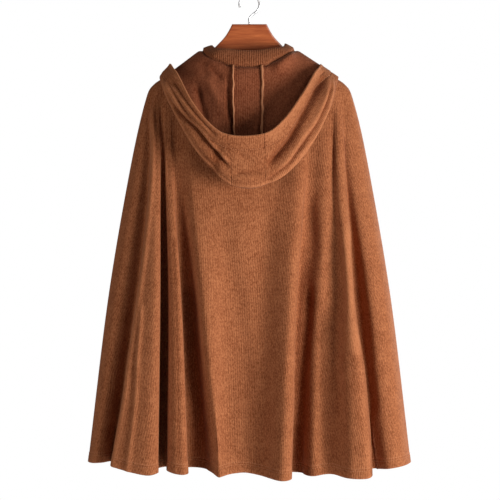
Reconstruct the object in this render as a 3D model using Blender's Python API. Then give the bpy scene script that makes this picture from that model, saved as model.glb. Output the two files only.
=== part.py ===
"""A hooded poncho on a wooden hanger, hung up with its back to -Y and its hood down.

The origin is the inside top of the hanger's hook, +Z is up, and the tables are in
millimetres. Every cloth piece is a closed wall lofted through rings or sections.
"""

import math
from collections import namedtuple

import bmesh
import bpy
import numpy as np

MM = 0.001
SEAM_GAP = 0.3 * MM  # left between the edges of two pieces that are sewn together
CLOTH = 2.0 * MM  # the fleece of the body and the hood
HEM_CLOTH = 3.4 * MM  # two layers of it, where an edge is turned up
HEM_TURN = 19 * MM  # depth of the turned hem
LIP_TURN = 26 * MM  # depth of the turned edge of the face opening

WOOD_TOP = -58.0  # height of the top of the hanger's neck, in mm
WOOD_BOTTOM = -111.0  # height of its lower edge in the middle, in mm
WOOD_THICKNESS = 14.0
WOOD_ROUNDING = 3.0
ARM_HEIGHT = 27.0
ARM_REACH = 187.0
COVER = 3.8  # from the cloth's outer face on a shoulder down to the wood, in mm

HOOK_WIRE = 2.0  # radius of the steel wire, in mm
HOOK_BEND = 20.0  # radius of the hook's bend at the middle of the wire
HOOK_SOCKET = 12.0  # how deep the stem sits in the wood
HOOK_PLAY = 0.3  # from the stem to the wall of its hole

BACK_COLUMNS = 3  # columns of faces between two fold lines of the back
FRONT_COLUMNS = 3
HOOD_COLUMNS = 3  # between two sections of the hood
BAND_FACES = 6  # along a section of the band, from the neckline over to the hood
INNER_FACES = 7  # along a hood section, from the neck seam to its lowest fold
OUTER_FACES = 9  # and from that fold up to the lip

# The rings of the body from the neck to the hem, in mm. Each ring passes over the
# hanger's arms at side_x, side_z, and hangs lower at the middle of the back and front.
Level = namedtuple("Level", "name side_x side_z back_y back_z front_y front_z")
LEVELS = [
    Level("neck", 80, -115, -45, -127, 57, -151),
    Level("mid_shoulder", 136, -150, -48, -166, 60, -187),
    Level("shoulder_tip", 192, -182, -51, -208, 62, -226),
    Level("upper_arm", 210, -219, -54, -250, 64, -264),
    Level("chest", 241, -359, -67, -370, 72, -373),
    Level("waist", 283, -609, -90, -612, 90, -612),
    Level("hem", 322, -930.5, -106, -930.5, 104, -930.5),
]
NECK, MID, TIP, UPPER, CHEST, WAIST, HEM = range(len(LEVELS))
OVAL = 2.4  # how square the rings are, where 2 is an ellipse
TIP_SHARE = 0.3  # share of a fold's depth at the upper arm that it has at the shoulder
BODY_ROWS = [0, 0.5, 1, 1.5, 2, 2.5, 3, 3.5, 4, 4.35, 4.7, 5, 5.33, 5.67]

# The crests and valleys of the cloth, from one side to the other, in mm. x is across at
# four levels, out is how far the line stands out of the ring, and drop is how far the
# hem hangs below its height at the sides.
FoldLine = namedtuple(
    "FoldLine",
    "name x_upper x_chest x_waist x_hem out_upper out_chest out_waist out_hem drop",
)
BACK_FOLDS = [
    FoldLine("side_roll", -208, -224, -264, -304, 0, 2, 4, 8, -4),
    FoldLine("side_slope", -203, -212, -244, -288, 0, -2, -6, -10, -4),
    FoldLine("side_valley", -198, -200, -224, -272, -2, -9, -24, -40, -4),
    FoldLine("pleat_edge", -195, -192, -215, -265, 0, 4, 12, 16, -2),
    FoldLine("pleat_ridge", -190, -188, -204, -227, 4, 9, 17, 25, 6),
    FoldLine("pleat_crest", -184, -184, -181, -192, 2, 7, 20, 28, 10),
    FoldLine("pleat_lip", -179, -176, -173, -176, 0, 3, 9, 14, 7),
    FoldLine("gap_left", -175, -173, -176, -181, -2, -9, -20, -26, 5),
    FoldLine("deep_gap", -171, -166, -161, -164, -2, -13, -36, -50, 4),
    FoldLine("second_edge", -167, -164, -156, -157, 0, 1, 3, 4, 5),
    FoldLine("second_pleat", -163, -159, -142, -133, 0, 1, 15, 24, 8),
    FoldLine("second_lip", -157, -152, -132, -119, 0, 1, 8, 14, 8),
    FoldLine("left_valley", -151, -146, -132, -119, -1, -8, -30, -48, 4),
    FoldLine("valley_floor", -144, -137, -113, -91, -2, -8, -31, -49, 6),
    FoldLine("left_crest", -114, -112, -87, -60, 2, 5, 12, 22, 16),
    FoldLine("left_panel", -80, -76, -56, -45, 1, 3, 2, 5, 11),
    FoldLine("middle", -10, -8, -22, -20, 0, -2, -9, -14, 7),
    FoldLine("right_dip", 51, 46, 28, 14, -1, -6, -8, -16, 13),
    FoldLine("right_crest", 92, 95, 82, 63, 1, 7, 21, 35, 18),
    FoldLine("right_lip", 104, 106, 93, 79, 0, 3, 13, 26, 17),
    FoldLine("right_valley", 118, 114, 95, 81, -1, -8, -40, -62, 15),
    FoldLine("right_floor", 128, 127, 109, 94, 0, -8, -35, -57, 15),
    FoldLine("low_crest", 146, 148, 137, 122, -1, -3, -8, -14, 17),
    FoldLine("outer_valley", 157, 160, 166, 158, -1, -6, -13, -9, 11),
    FoldLine("outer_shoulder", 166, 169, 181, 185, 0, -2, 1, 13, 17),
    FoldLine("outer_edge", 175, 177, 195, 223, 2, 10, 24, 37, 16),
    FoldLine("far_lip", 179, 183, 204, 236, 1, 5, 15, 26, 14),
    FoldLine("far_valley", 183, 185, 206, 241, -1, -10, -32, -34, 8),
    FoldLine("far_floor", 188, 191, 218, 255, -2, -11, -31, -33, 8),
    FoldLine("far_slope", 194, 202, 236, 270, 0, 0, 2, 2, 5),
    FoldLine("far_roll", 205, 222, 262, 296, 1, 5, 12, 14, 1),
]
FRONT_FOLDS = [
    FoldLine("side_roll", 201, 225, 260, 294, 1, 4, 8, 12, -2),
    FoldLine("side_valley", 192, 207, 235, 262, -1, -4, -13, -22, 3),
    FoldLine("outer_crest", 176, 187, 208, 228, 2, 6, 14, 24, 12),
    FoldLine("outer_valley", 155, 162, 176, 188, -2, -6, -15, -28, 6),
    FoldLine("inner_crest", 126, 130, 138, 145, 2, 5, 12, 22, 15),
    FoldLine("inner_valley", 96, 97, 98, 100, -1, -4, -12, -24, 9),
    FoldLine("middle_crest", 58, 57, 52, 46, 1, 3, 10, 20, 17),
    FoldLine("middle_valley", 12, 8, 0, -10, 0, -2, -6, -14, 10),
    FoldLine("low_crest", -34, -38, -50, -64, 1, 3, 9, 18, 17),
    FoldLine("low_valley", -78, -82, -96, -110, -1, -4, -12, -26, 8),
    FoldLine("left_crest", -118, -124, -140, -156, 2, 5, 13, 24, 14),
    FoldLine("left_valley", -152, -162, -182, -200, -2, -6, -15, -26, 5),
    FoldLine("far_crest", -178, -192, -216, -238, 2, 6, 13, 22, 9),
    FoldLine("far_valley", -193, -212, -242, -270, -1, -4, -12, -18, 2),
    FoldLine("far_roll", -202, -227, -263, -298, 1, 4, 8, 10, -2),
]

# Sections of the hood from the middle of the back round to the middle of the front, in
# mm, where x is the distance from the middle. A section leaves the neck seam, turns at
# its lowest fold and comes back up to the lip of the face opening. Pouch is the room
# inside that fold, and stand is how high the neck band rises beside the section.
HoodSection = namedtuple(
    "HoodSection",
    "name neck_x neck_y neck_z fold_x fold_y fold_z lip_x lip_y lip_z pouch stand",
)
HOOD_MIDDLE = HoodSection("middle", -3, -59, -150, -3, -118, -390, -5, -154, -294, 50, 24)
HOOD_LEFT = [
    HoodSection("strip_seam", 31, -59, -149, 31, -116, -384, 37, -152, -291, 49, 24),
    HoodSection("nape_side", 55, -56, -140, 85, -109, -339, 71, -143, -271, 43, 22),
    HoodSection("neck_side", 75, -50, -131, 131, -91, -270, 111, -119, -221, 29, 17),
    HoodSection("shoulder_back", 88, -32, -119, 164, -58, -206, 141, -71, -162, 18, 13),
    HoodSection("shoulder_edge", 93, -17, -111, 174, -34, -179, 151, -43, -149, 13, 14),
    HoodSection("shoulder", 95, -2, -108, 178, -5, -165, 157, -10, -139, 10, 16),
    HoodSection("front_edge", 93, 15, -112, 173, 30, -171, 153, 35, -148, 12, 15),
    HoodSection("shoulder_front", 86, 32, -119, 160, 54, -192, 142, 61, -163, 14, 14),
    HoodSection("collar_side", 65, 54, -135, 112, 82, -204, 100, 91, -174, 15, 13),
    HoodSection("collar_front", 33, 67, -151, 58, 96, -204, 53, 104, -177, 15, 14),
    HoodSection("middle_front", 0.2, 73, -161, 0.2, 99, -199, 0.2, 107, -175, 15, 14),
]
HOOD_RIGHT = [
    HoodSection("strip_seam", 25, -59, -149, 26, -116, -385, 32, -152, -289, 49, 24),
    HoodSection("nape_side", 49, -56, -139, 89, -109, -345, 69, -143, -261, 43, 23),
    HoodSection("neck_side", 69, -50, -129, 134, -91, -278, 103, -119, -212, 29, 19),
    HoodSection("shoulder_back", 81, -33, -118, 163, -60, -217, 127, -73, -168, 19, 14),
    HoodSection("shoulder_edge", 89, -17, -111, 172, -35, -181, 136, -45, -152, 14, 18),
    HoodSection("shoulder", 92, -2, -108, 177, -5, -163, 141, -10, -140, 10, 23),
    HoodSection("front_edge", 90, 15, -112, 170, 30, -171, 138, 36, -149, 12, 18),
    HoodSection("shoulder_front", 84, 32, -119, 158, 54, -192, 134, 61, -162, 14, 14),
    HoodSection("collar_side", 64, 54, -135, 111, 82, -205, 96, 91, -174, 15, 13),
    HoodSection("collar_front", 32, 67, -151, 58, 96, -205, 52, 104, -177, 15, 14),
    HoodSection("middle_front", 0.2, 73, -161, 0.2, 99, -199, 0.2, 107, -175, 15, 14),
]

# Folds that run along the outside of the hood. Each lies at a share of the way from the
# lowest fold to the lip, given at the strip seam, the nape, the neck and the shoulder.
HoodFold = namedtuple("HoodFold", "name side at_seam at_nape at_neck at_shoulder proud width")
HOOD_FOLD_STATIONS = [1, 2.2, 3.2, 5]  # sections from the middle, for the four places
HOOD_FOLDS = [
    HoodFold("left_overlap", -1, 0.54, 0.70, 0.62, 0.42, 3.0, 0.09),
    HoodFold("left_under", -1, 0.41, 0.58, 0.48, 0.30, -4.0, 0.10),
    HoodFold("right_ridge", 1, 0.34, 0.45, 0.50, 0.54, 4.0, 0.10),
    HoodFold("right_valley", 1, 0.48, 0.62, 0.72, 0.74, -9.0, 0.11),
    HoodFold("right_groove", 1, 0.20, 0.31, 0.32, 0.38, -3.0, 0.08),
]

# The seam allowances inside the hood, which stand up as two thin ridges.
ALLOWANCE_HEIGHT = 4.5 * MM
ALLOWANCE_THICKNESS = 1.4 * MM
ALLOWANCE_FACES = INNER_FACES - 1  # how far down they run, short of the lowest fold

# The upper edge of one half of the hanger's neck, from its corner to the arm, in mm.
WOOD_NECK = [(34.4, -58.0), (40.8, -70.5), (48.0, -82.0), (57.0, -92.5), (68.0, -103.5)]

COLOURS = {
    "fleece": (0.30, 0.125, 0.05),
    "wood": (0.42, 0.12, 0.04),
    "steel": (0.62, 0.62, 0.64),
}


def clear_scene():
    for thing in list(bpy.data.objects):
        bpy.data.objects.remove(thing)


def material(name, roughness, metallic=0.0):
    made = bpy.data.materials.new(name)
    made.use_nodes = True
    shader = made.node_tree.nodes["Principled BSDF"]
    shader.inputs["Base Color"].default_value = (*COLOURS[name], 1.0)
    shader.inputs["Roughness"].default_value = roughness
    shader.inputs["Metallic"].default_value = metallic
    return made


def new_object(name, mesh, collection, surface):
    made = bpy.data.objects.new(name, mesh)
    made.data.materials.append(surface)
    collection.objects.link(made)
    return made


def spline(knots, values, at):
    """The smooth curve through values at the knots, read at one place."""
    knots = np.asarray(knots, float)
    values = np.asarray(values, float)
    slopes = np.gradient(values, knots, axis=0)
    i = int(np.clip(np.searchsorted(knots, at, side="right") - 1, 0, len(knots) - 2))
    span = knots[i + 1] - knots[i]
    t = (at - knots[i]) / span
    return (
        (2 * t**3 - 3 * t**2 + 1) * values[i]
        + (t**3 - 2 * t**2 + t) * span * slopes[i]
        + (3 * t**2 - 2 * t**3) * values[i + 1]
        + (t**3 - t**2) * span * slopes[i + 1]
    )


def knots_along(points):
    """Knots for a spline through the points, spaced by the root of their distances."""
    steps = np.sqrt(np.linalg.norm(np.diff(points, axis=0), axis=1))
    return np.concatenate([[0], np.cumsum(steps)])


def unit(vectors):
    return vectors / np.linalg.norm(vectors, axis=-1, keepdims=True)


def level_at(row):
    """The ring sizes at a row, which may lie between two levels."""
    sizes = [level[1:] for level in LEVELS]
    return Level("row", *spline(range(len(LEVELS)), sizes, row))


def across(line, row, side_x):
    """Where a fold line crosses a ring. Above the upper arm it runs in to the neck."""
    if row <= UPPER:
        return side_x * line.x_upper / LEVELS[UPPER].side_x
    stations = [line.x_upper, line.x_chest, line.x_waist, line.x_hem]
    return spline([UPPER, CHEST, WAIST, HEM], stations, row)


def proud(line, row):
    depths = [0, 0, TIP_SHARE * line.out_upper]
    depths += [line.out_upper, line.out_chest, line.out_waist, line.out_hem]
    return spline(range(len(LEVELS)), depths, row)


def ring_point(line, row, level, depth, middle_z):
    """One fold line's point on a ring, whose middle lies at depth and middle_z."""
    x = across(line, row, level.side_x)
    share = min(1.0, abs(x) / level.side_x)
    out = (1 - share**OVAL) ** (1 / OVAL) * abs(depth) + proud(line, row)
    drop = spline([NECK, WAIST, HEM], [0, 0, line.drop], row) if row > WAIST else 0
    z = level.side_z + (middle_z - level.side_z) * (1 - share**2) - drop
    return x, math.copysign(out, depth), z


def ring_keys(row):
    """The fold lines' points round one ring, from the left side over the back."""
    level = level_at(row)
    left = [(-level.side_x, 0.0, level.side_z)]
    right = [(level.side_x, 0.0, level.side_z)]
    back = [ring_point(f, row, level, level.back_y, level.back_z) for f in BACK_FOLDS]
    front = [ring_point(f, row, level, level.front_y, level.front_z) for f in FRONT_FOLDS]
    return np.array(left + back + right + front)


def ring(row):
    """The whole ring as points, with a fixed number of columns between fold lines."""
    keys = ring_keys(row)
    count = len(keys)
    around = np.array([keys[i % count] for i in range(-3, count + 4)])
    knots = knots_along(around)
    points = []
    for i in range(count):
        columns = BACK_COLUMNS if i <= len(BACK_FOLDS) else FRONT_COLUMNS
        start, end = knots[i + 3], knots[i + 4]
        for j in range(columns):
            points.append(spline(knots, around, start + (end - start) * j / columns))
    return np.array(points) * MM


def body_rows():
    """The rows of the body, ending with the hem's stitching line and its edge."""
    drop = (LEVELS[WAIST].side_z - LEVELS[HEM].side_z) * MM
    return BODY_ROWS + [HEM - HEM_TURN / drop, HEM]


def grid_normals(grid, closed=False):
    """Unit normals of a grid of points, outwards for rows that run down and columns
    that run from the left side over the back."""
    if closed:
        along = np.roll(grid, -1, axis=1) - np.roll(grid, 1, axis=1)
    else:
        along = np.gradient(grid, axis=1)
    down = np.gradient(grid, axis=0)
    return unit(np.cross(down, along))


def wall(name, outer, inner, collection, surface):
    """A closed wall between two grids of points of one size."""
    rows, columns = outer.shape[:2]
    bm = bmesh.new()
    faces = [[[bm.verts.new(p) for p in line] for line in side] for side in (outer, inner)]
    for r in range(rows - 1):
        for c in range(columns - 1):
            for side in faces:
                corners = (side[r][c], side[r][c + 1], side[r + 1][c + 1], side[r + 1][c])
                bm.faces.new(corners)
    edge = [(0, c) for c in range(columns - 1)]
    edge += [(r, columns - 1) for r in range(rows - 1)]
    edge += [(rows - 1, c) for c in range(columns - 1, 0, -1)]
    edge += [(r, 0) for r in range(rows - 1, 0, -1)]
    for here, there in zip(edge, edge[1:] + edge[:1]):
        a, b = faces[0][here[0]][here[1]], faces[0][there[0]][there[1]]
        c, d = faces[1][there[0]][there[1]], faces[1][here[0]][here[1]]
        bm.faces.new((a, b, c, d))
    bmesh.ops.recalc_face_normals(bm, faces=bm.faces)
    mesh = bpy.data.meshes.new(name)
    bm.to_mesh(mesh)
    bm.free()
    mesh.shade_smooth()
    mesh.set_sharp_from_angle(angle=math.radians(50))
    return new_object(name, mesh, collection, surface)


def draw_in(grid, distance):
    """The grid with its first and last columns moved in, to leave a gap at a seam."""
    moved = grid.copy()
    moved[:, 0] += unit(grid[:, 1] - grid[:, 0]) * distance
    moved[:, -1] += unit(grid[:, -2] - grid[:, -1]) * distance
    return moved


def body(collection, surface):
    """The back and the front, which meet over the shoulders and down the sides."""
    rows = body_rows()
    outer = np.array([ring(row) for row in rows])
    normals = grid_normals(outer, closed=True)
    thickness = np.full(len(rows), CLOTH)
    thickness[-2:] = HEM_CLOTH
    inner = outer - normals * thickness[:, None, None]
    seam = (len(BACK_FOLDS) + 1) * BACK_COLUMNS
    total = outer.shape[1]
    panels = {"back": range(0, seam + 1), "front": range(seam, total + 1)}
    for name, columns in panels.items():
        picked = [c % total for c in columns]
        sides = (draw_in(side[:, picked], SEAM_GAP / 2) for side in (outer, inner))
        wall(name, *sides, collection, surface)


def hood_rows(side):
    """A side's sections as rows of numbers, with x on that side."""
    table = HOOD_LEFT if side < 0 else HOOD_RIGHT
    rows = np.array([section[1:] for section in table], float)
    rows[:, [0, 3, 6]] *= side
    return rows


def hood_table():
    """All sections from the front on the left over the back to the front on the right."""
    middle = np.array([HOOD_MIDDLE[1:]], float)
    return np.concatenate([hood_rows(-1)[::-1], middle, hood_rows(1)])


def bezier(points, count):
    """Points along a cubic curve, without its end."""
    t = (np.arange(count) / count)[:, None]
    a, b, c, d = points
    return (1 - t) ** 3 * a + 3 * t * (1 - t) ** 2 * b + 3 * t**2 * (1 - t) * c + t**3 * d


def neckline(places):
    """Points just above the neck ring, in the same directions as the places, in mm."""
    level = level_at(NECK)
    edge = ring(NECK) / MM
    turns = np.arctan2(edge[:, 1] / level.front_y, edge[:, 0] / level.side_x)
    order = np.argsort(turns)
    wanted = np.arctan2(places[:, 1] / level.front_y, places[:, 0] / level.side_x)
    found = [np.interp(wanted, turns[order], edge[order, k], period=2 * math.pi) for k in range(3)]
    points = np.stack(found, axis=1)
    inwards = points * [1, 1, 0]
    points -= unit(inwards) * CLOTH / MM / 2
    points[:, 2] += SEAM_GAP / MM * 1.2
    return points


def section_points(edge, numbers):
    """One section of the band and the hood, from the neckline to the lip."""
    neck, fold, lip = numbers[0:3], numbers[3:6], numbers[6:9]
    pouch, stand = numbers[9:11]
    fall = fold - neck
    rise = lip - fold
    out = unit(rise - rise.dot(unit(fall)) * unit(fall))
    inner_handle = 0.45 * fall - 0.15 * pouch * out
    band_end = neck - unit(inner_handle) * stand
    band = [edge, edge + np.array([0, 0, stand]), band_end, neck]
    inner = [neck, neck + inner_handle, fold - 0.6 * pouch * out, fold]
    outer = [fold, fold + 0.6 * pouch * out, lip - 0.45 * rise + 0.15 * pouch * out, lip]
    parts = [bezier(band, BAND_FACES), bezier(inner, INNER_FACES), bezier(outer, OUTER_FACES)]
    return np.concatenate(parts + [lip[None]])


def hood_fold_depth(station, t):
    """How far the folds along the hood lift the points at t out of their section."""
    side = -1 if station < len(HOOD_LEFT) else 1
    from_middle = abs(station - len(HOOD_LEFT))
    strength = np.clip(2 * from_middle - 1.6, 0, 1) * np.clip(6.5 - from_middle, 0, 1)
    lift = np.zeros(len(t))
    for fold in HOOD_FOLDS:
        if fold.side == side:
            shares = [fold.at_seam, fold.at_nape, fold.at_neck, fold.at_shoulder]
            centre = np.interp(from_middle, HOOD_FOLD_STATIONS, shares)
            lift += fold.proud * np.exp(-(((t - centre) / fold.width) ** 2))
    return strength * lift


def collar_surface():
    """The middle surface of the band and the hood: a row for each station round the
    neck, and in it the points from the neckline to the lip."""
    table = hood_table()
    knots = knots_along(table[:, 3:6])
    stations = np.arange((len(table) - 1) * HOOD_COLUMNS + 1) / HOOD_COLUMNS
    places = np.interp(stations, range(len(table)), knots)
    rows = np.array([spline(knots, table, place) for place in places])
    grid = np.array([section_points(*both) for both in zip(neckline(rows[:, :3]), rows)])
    normals = grid_normals(grid)
    t = np.linspace(0, 1, OUTER_FACES + 1)
    for row, station in enumerate(stations):
        lift = hood_fold_depth(station, t) * np.minimum(1, t * 6)
        grid[row, -len(t) :] += normals[row, -len(t) :] * lift[:, None]
    return grid * MM


def lip_thickness(grid):
    """Half the wall's thickness at each point, more where the lip is turned in."""
    lengths = np.linalg.norm(np.diff(grid, axis=1), axis=2)[:, ::-1]
    from_lip = np.zeros(grid.shape[:2])
    from_lip[:, :-1] = np.cumsum(lengths, axis=1)[:, ::-1]
    return np.where(from_lip < LIP_TURN, HEM_CLOTH / 2, CLOTH / 2)[..., None]


def collar(collection, surface):
    """The neck band, and the hood in three panels that meet at the strip's seams."""
    grid = collar_surface()
    normals = grid_normals(grid)
    half = lip_thickness(grid)
    faces = (grid + normals * half, grid - normals * half)
    neck = BAND_FACES
    band = [draw_in(side[:, : neck + 1], SEAM_GAP / 2) for side in faces]
    wall("neck_band", *band, collection, surface)
    middle = len(HOOD_LEFT) * HOOD_COLUMNS
    seams = (middle - HOOD_COLUMNS, middle + HOOD_COLUMNS)
    spans = {
        "hood_left": (0, seams[0]),
        "hood_centre": seams,
        "hood_right": (seams[1], len(grid) - 1),
    }
    for name, (first, last) in spans.items():
        sides = [draw_in(side[first : last + 1, neck:], SEAM_GAP / 2) for side in faces]
        sides = [draw_in(side.swapaxes(0, 1), SEAM_GAP / 2) for side in sides]
        wall(name, *sides, collection, surface)
    for name, row in zip(("seam_ridge_left", "seam_ridge_right"), seams):
        pieces = (grid[row, neck:], normals[row, neck:], (grid[row + 1] - grid[row])[neck:])
        seam_ridge(name, *pieces, collection, surface)


def seam_ridge(name, line, normals, across_seam, collection, surface):
    """One seam's allowance, standing on the inside of the hood along its seam."""
    line, normals = line[: ALLOWANCE_FACES + 1].copy(), normals[: ALLOWANCE_FACES + 1]
    line[0] += unit(line[1] - line[0]) * SEAM_GAP
    sideways = unit(across_seam[: ALLOWANCE_FACES + 1]) * ALLOWANCE_THICKNESS / 2
    facing = np.where(normals[:, 1:2] > 0, -normals, normals)
    foot = line + facing * (CLOTH / 2 + SEAM_GAP)
    top = foot + facing * ALLOWANCE_HEIGHT
    left = np.stack([foot - sideways, top - sideways], axis=1)
    right = np.stack([foot + sideways, top + sideways], axis=1)
    wall(name, left, right, collection, surface)


def wood_top(x):
    """Height of the arm's upper edge, just under the cloth on the shoulder."""
    ridge = [level_at(row) for row in BODY_ROWS[: BODY_ROWS.index(UPPER) + 1]]
    reach = [level.side_x for level in ridge]
    return float(np.interp(x, reach, [level.side_z for level in ridge])) - COVER


def hanger_outline():
    """The hanger's outline seen from the back, anticlockwise, in mm."""
    arm = np.linspace(LEVELS[NECK].side_x, ARM_REACH - 4, 9)
    corners = np.array(WOOD_NECK + [(x, wood_top(x)) for x in arm[:1]])
    knots = knots_along(corners)
    upper = [tuple(spline(knots, corners, k)) for k in np.linspace(0, knots[-1], 10)]
    upper += [(x, wood_top(x)) for x in arm[1:]]
    end_top = wood_top(ARM_REACH - 4)
    tip = [(ARM_REACH, end_top - 5), (ARM_REACH, end_top - ARM_HEIGHT + 7)]
    lower = [(x, wood_top(x) - ARM_HEIGHT) for x in arm[::-1]]
    lower += [(58, WOOD_BOTTOM - 12), (36, WOOD_BOTTOM - 3), (18, WOOD_BOTTOM), (0, WOOD_BOTTOM)]
    right = upper + tip + lower
    left = [(-x, z) for x, z in right[-2::-1]]
    return right + left


def filled_outline(name, points, thickness, rounding, collection, surface):
    """A board with rounded edges, cut to an outline in the XZ plane."""
    curve = bpy.data.curves.new(name, "CURVE")
    curve.dimensions = "2D"
    curve.fill_mode = "BOTH"
    curve.extrude = (thickness / 2 - rounding) * MM
    curve.bevel_depth = rounding * MM
    curve.bevel_resolution = 1
    curve.offset = -rounding * MM
    line = curve.splines.new("POLY")
    line.points.add(len(points) - 1)
    for point, (x, z) in zip(line.points, points):
        point.co = (x * MM, z * MM, 0, 1)
    line.use_cyclic_u = True
    made = new_object(name, curve, collection, surface)
    made.rotation_euler = (math.radians(90), 0, 0)
    return made


def as_mesh(thing, collection):
    """The object's evaluated mesh, welded, in place of the object."""
    bpy.context.view_layer.update()
    graph = bpy.context.evaluated_depsgraph_get()
    mesh = bpy.data.meshes.new_from_object(thing.evaluated_get(graph))
    name, matrix = thing.name, thing.matrix_world.copy()
    bpy.data.objects.remove(thing)
    bm = bmesh.new()
    bm.from_mesh(mesh)
    bmesh.ops.remove_doubles(bm, verts=bm.verts, dist=0.01 * MM)
    bmesh.ops.recalc_face_normals(bm, faces=bm.faces)
    bm.to_mesh(mesh)
    bm.free()
    made = bpy.data.objects.new(name, mesh)
    made.matrix_world = matrix
    collection.objects.link(made)
    return made


def hanger(collection, cutters, surface):
    """The wooden hanger, with a hole in its neck for the hook's stem."""
    board = filled_outline(
        "hanger", hanger_outline(), WOOD_THICKNESS, WOOD_ROUNDING, collection, surface
    )
    board = as_mesh(board, collection)
    bpy.ops.mesh.primitive_cylinder_add(
        vertices=16,
        radius=(HOOK_WIRE + HOOK_PLAY) * MM,
        depth=2 * HOOK_SOCKET * MM,
        location=(0, 0, WOOD_TOP * MM),
    )
    hole = bpy.context.object
    hole.name = "hook_hole"
    hole.hide_render = True
    hole.display_type = "WIRE"
    for other in list(hole.users_collection):
        other.objects.unlink(hole)
    cutters.objects.link(hole)
    cut = board.modifiers.new("hook_hole", "BOOLEAN")
    cut.operation = "DIFFERENCE"
    cut.object = hole
    board.data.set_sharp_from_angle(angle=math.radians(40))
    return board


def hook_path():
    """The middle of the hook's wire, from its foot in the wood to its free end."""
    centre_z = -HOOK_BEND + HOOK_WIRE
    foot = WOOD_TOP - HOOK_SOCKET + 1
    stem_top = centre_z - HOOK_BEND - 8
    path = [(0, foot), (0, WOOD_TOP), (0, stem_top)]
    start, end = math.radians(-62), math.radians(196)
    steps = 22
    for i in range(steps + 1):
        angle = start + (end - start) * i / steps
        path.append((HOOK_BEND * math.cos(angle), centre_z + HOOK_BEND * math.sin(angle)))
    return path


def hook(collection, surface):
    """The steel hook, whose inside top is the origin."""
    corners = np.array(hook_path())
    knots = knots_along(corners)
    curve = bpy.data.curves.new("hook", "CURVE")
    curve.dimensions = "3D"
    curve.bevel_depth = HOOK_WIRE * MM
    curve.bevel_resolution = 2
    curve.use_fill_caps = True
    places = np.linspace(0, knots[-1], 44)
    line = curve.splines.new("POLY")
    line.points.add(len(places) - 1)
    for point, place in zip(line.points, places):
        x, z = spline(knots, corners, place)
        point.co = (x * MM, 0, z * MM, 1)
    return new_object("hook", curve, collection, surface)


def main():
    clear_scene()
    poncho = bpy.data.collections.new("hooded_poncho")
    cutters = bpy.data.collections.new("cutters")
    for collection in (poncho, cutters):
        bpy.context.scene.collection.children.link(collection)
    fleece = material("fleece", roughness=0.95)
    wood = material("wood", roughness=0.45)
    steel = material("steel", roughness=0.25, metallic=1.0)
    body(poncho, fleece)
    collar(poncho, fleece)
    hanger(poncho, cutters, wood)
    hook(poncho, steel)


main()
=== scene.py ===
"""The looks of a hooded poncho on a hanger, seen from its back.

The cloth follows the same rings and sections as the solids, in millimetres, but on a
fine grid, with soft creases, hems, stitching and knitted ribs.
"""

import math
from collections import namedtuple

import bmesh
import bpy
import numpy as np
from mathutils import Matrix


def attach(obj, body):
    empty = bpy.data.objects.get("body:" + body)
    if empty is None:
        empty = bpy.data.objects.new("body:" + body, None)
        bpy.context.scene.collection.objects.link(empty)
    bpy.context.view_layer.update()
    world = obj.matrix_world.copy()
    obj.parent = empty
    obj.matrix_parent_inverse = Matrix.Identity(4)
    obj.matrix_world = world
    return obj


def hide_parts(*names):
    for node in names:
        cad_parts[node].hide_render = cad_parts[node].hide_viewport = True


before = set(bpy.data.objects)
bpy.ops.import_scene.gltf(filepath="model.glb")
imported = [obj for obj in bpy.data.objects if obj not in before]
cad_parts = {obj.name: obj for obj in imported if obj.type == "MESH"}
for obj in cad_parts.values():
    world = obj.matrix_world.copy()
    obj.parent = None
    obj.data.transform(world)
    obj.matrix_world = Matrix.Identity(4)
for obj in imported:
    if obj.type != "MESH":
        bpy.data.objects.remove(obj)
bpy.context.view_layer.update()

# Sizes are in mm, but those of the floor, the lights and the cuts are in metres.
MM = 0.001
SEAM_GAP = 0.3
CLOTH = 2
HEM_CLOTH = 3.2  # where the cloth is turned in and sewn
HEM_TURN = 19
NEEDLE_GAP = 4.5  # between the two lines of stitches along a hem

CAMERA_AWAY = 2800  # from the hanger's plane to the camera
CAMERA_X = 1.2
CAMERA_Z = -509
VIEW_WIDTH = 1000  # what the camera takes in at the hanger's plane
SENSOR_WIDTH = 36


def table(kind, *rows):
    """Rows with the named columns of their kind."""
    return [kind(*row) for row in rows]


# The rings of the body from the neck to the hem.
Level = namedtuple("Level", "name side_x side_z back_y back_z front_y front_z")
LEVELS = table(
    Level,
    ("neck", 80, -115, -45, -127, 57, -151),
    ("mid_shoulder", 136, -150, -48, -166, 60, -187),
    ("shoulder_tip", 189.5, -177, -51, -208, 62, -227),
    ("upper_arm", 210, -219, -54, -250, 64, -264),
    ("chest", 241, -359, -67, -370, 72, -373),
    ("waist", 283, -609, -90, -612, 90, -612),
    ("hem", 322, -930.5, -106, -930.5, 104, -930.5),
)
NECK, _, _, UPPER, CHEST, WAIST, HEM = range(len(LEVELS))
OVAL = 2.4  # how square a ring is
TIP_SHARE = 0.3  # share of a fold's depth at the upper arm that it has at the shoulder

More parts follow.
